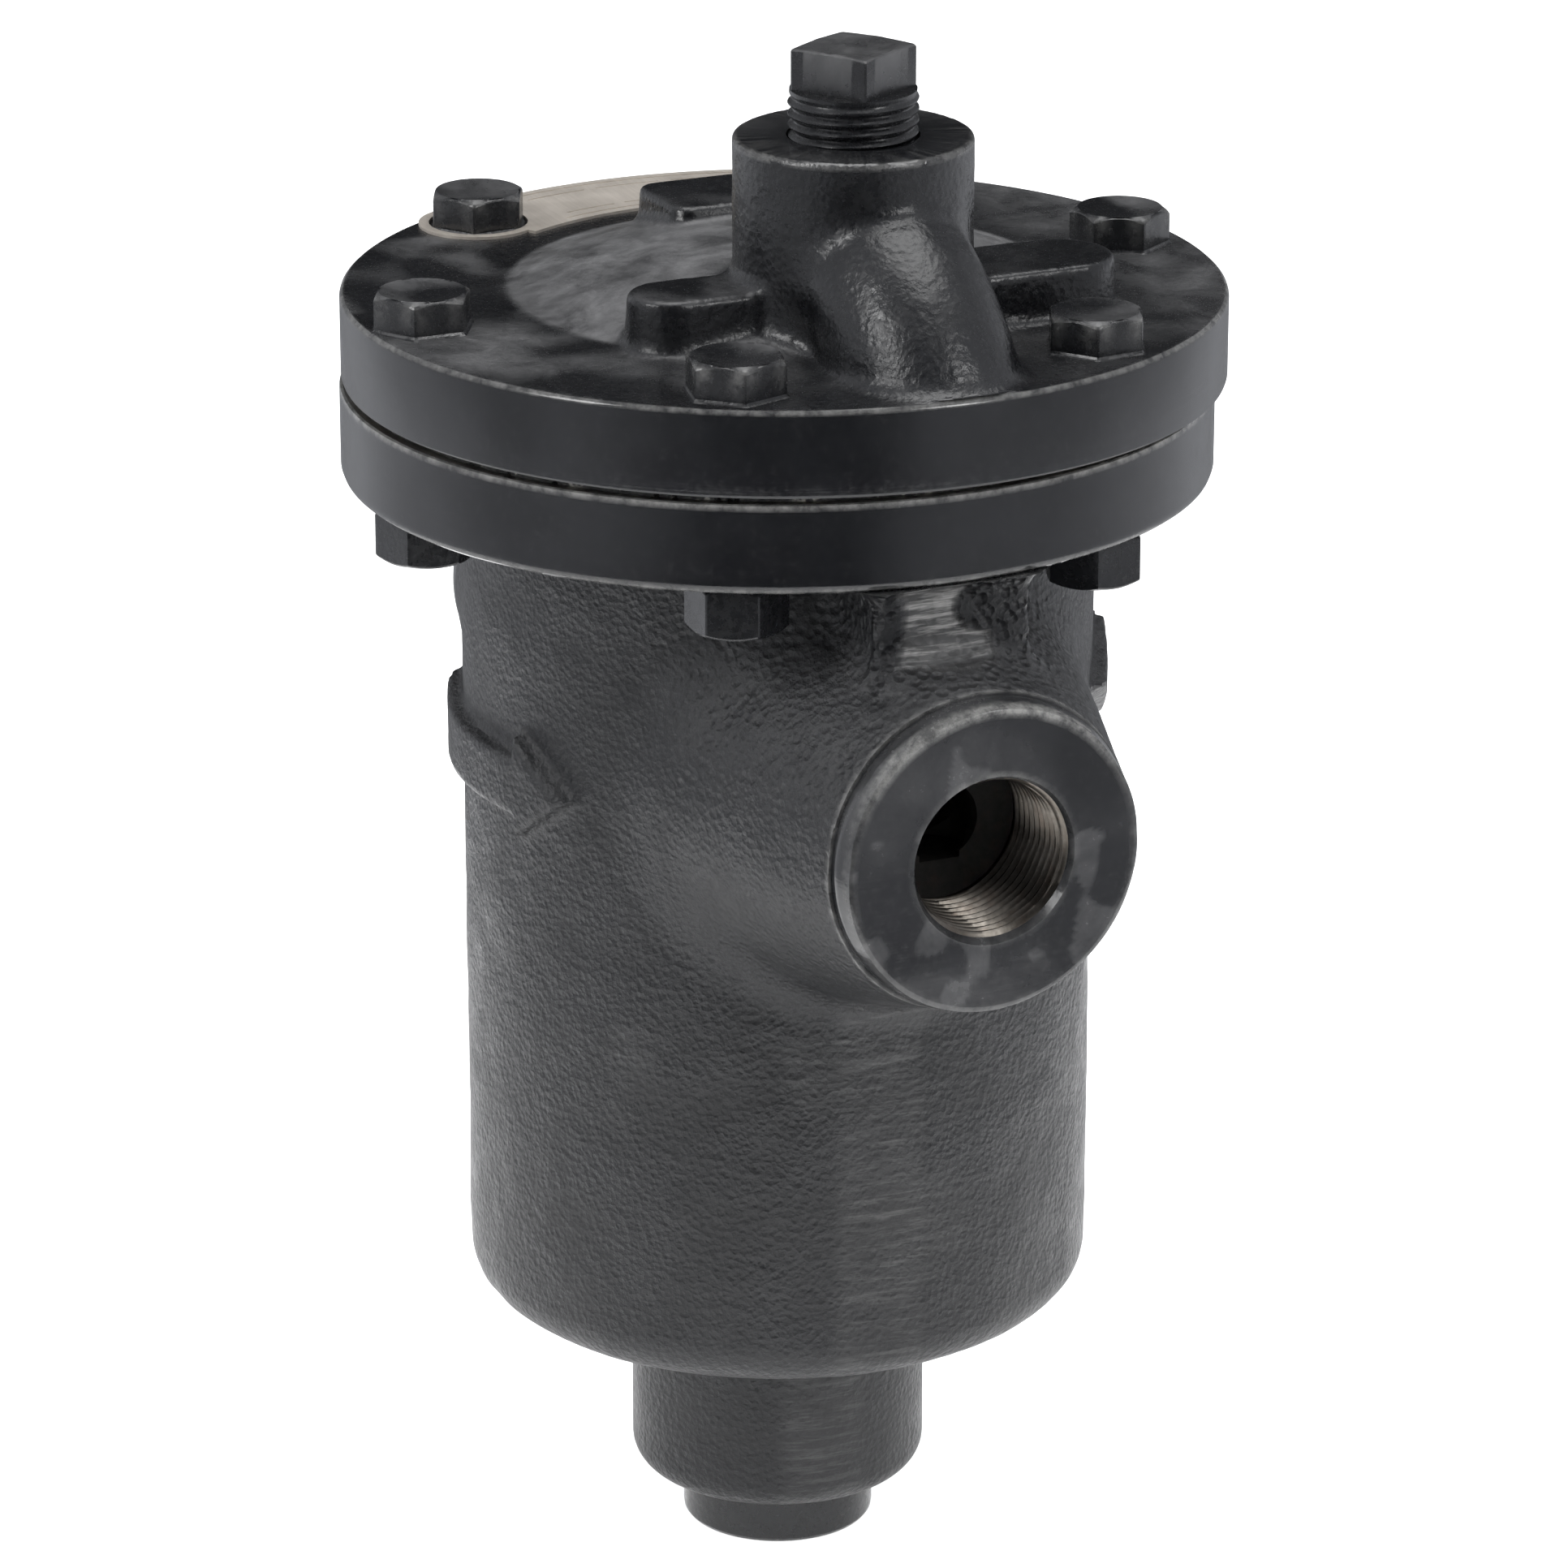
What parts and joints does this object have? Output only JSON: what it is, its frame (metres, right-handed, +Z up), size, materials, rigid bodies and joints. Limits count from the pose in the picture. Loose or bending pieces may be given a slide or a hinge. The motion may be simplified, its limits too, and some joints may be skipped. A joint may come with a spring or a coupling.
{
  "type": "steam trap",
  "caption": "Inverted-bucket steam trap with a bolted cap, opposed threaded side ports, an off-centre test plug boss and a floating bucket that works a lever valve.",
  "frame": {"origin": "on the body axis at the foot of the drain plug, which the trap stands on", "axes": "+Z up along the body axis, +X towards the outlet port, -X towards the inlet port"},
  "size_m": [0.165, 0.1432, 0.2615],
  "materials": {
    "painted_casting": "satin black paint over sand-cast iron",
    "painted_fastener": "satin black paint over forged steel",
    "gasket_sheet": "matt compressed fibre sheet",
    "tag_steel": "brushed stainless strip, dulled",
    "seat_steel": "turned and hardened stainless",
    "lever_steel": "stamped stainless",
    "bucket_steel": "drawn stainless sheet",
    "weight_iron": "machined iron"
  },
  "bodies": {
    "housing": {"body": "painted_casting", "cap": "painted_casting", "cap_gasket": "gasket_sheet", "cap_bolts": "painted_fastener", "cap_nuts": "painted_fastener", "test_plug": "painted_fastener", "drain_plug": "painted_fastener", "id_tag": "tag_steel", "valve_seat": "seat_steel", "guide_pin_plate": "lever_steel", "guide_pins": "lever_steel", "guide_plate_screws": "lever_steel", "screw_lockwashers": "lever_steel", "inlet_tube": "bucket_steel"},
    "lever_arm": {"lever": "lever_steel", "valve": "seat_steel", "valve_retainer": "lever_steel"},
    "bucket_float": {"bucket": "bucket_steel", "bucket_clip": "bucket_steel", "clip_rivets": "lever_steel", "hanger_pin": "lever_steel", "bucket_weight": "weight_iron"}
  },
  "joints": [
    {"name": "lever_hinge", "type": "hinge", "parent": "housing", "child": "lever_arm", "pos_m": [0.03689, 0.001, 0.191], "axis": [0, 1, 0], "range_deg": [0, 14]},
    {"name": "bucket_hinge", "type": "hinge", "parent": "lever_arm", "child": "bucket_float", "pos_m": [0.0005, 0.001, 0.18193], "axis": [0, 1, 0], "range_deg": [-14, 0]}
  ],
  "couplings": [
    {"joint": "bucket_hinge", "follows": "lever_hinge", "ratio": -1}
  ]
}
